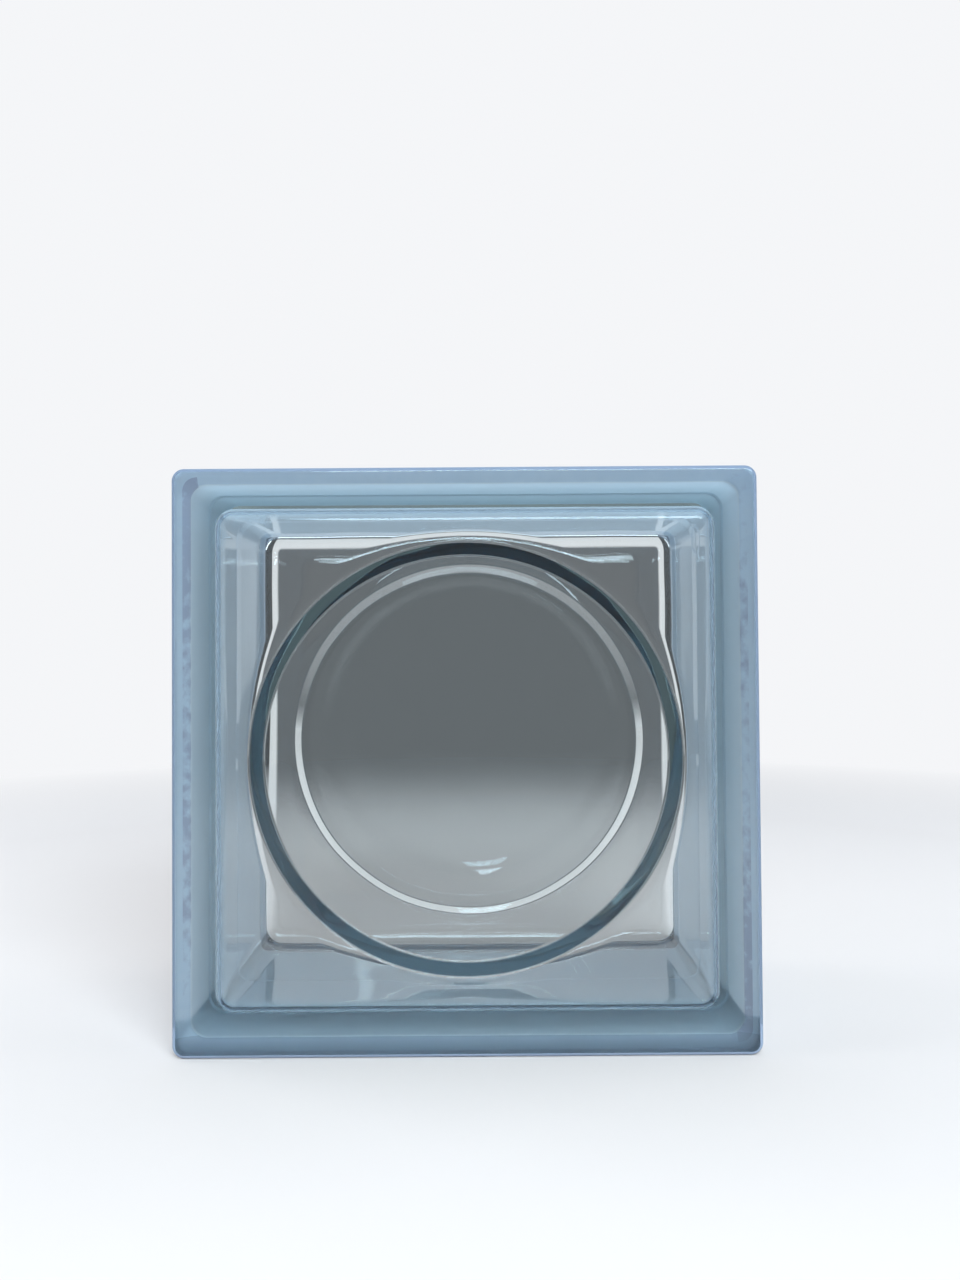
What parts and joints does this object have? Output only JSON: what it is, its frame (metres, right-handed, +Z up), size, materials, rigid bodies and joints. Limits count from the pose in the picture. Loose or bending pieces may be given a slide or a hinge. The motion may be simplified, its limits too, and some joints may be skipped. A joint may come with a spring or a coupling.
{
  "type": "glass block",
  "caption": "Square hollow glass block with a sealed cavity, mortar channels round its edge and a raised round disc pressed into the inside of each pane.",
  "frame": {"origin": "middle of the bottom of the block's box, as it stands on its bottom mortar face", "axes": "+Z up, +X along the front face, +Y through the thickness from the front pane to the rear"},
  "size_m": [0.19, 0.095, 0.19],
  "materials": {
    "pressed_glass": "clear pressed glass, with a pale blue-grey coating on the four mortar faces"
  },
  "bodies": {
    "root": {"glass_block": "pressed_glass"}
  },
  "joints": []
}
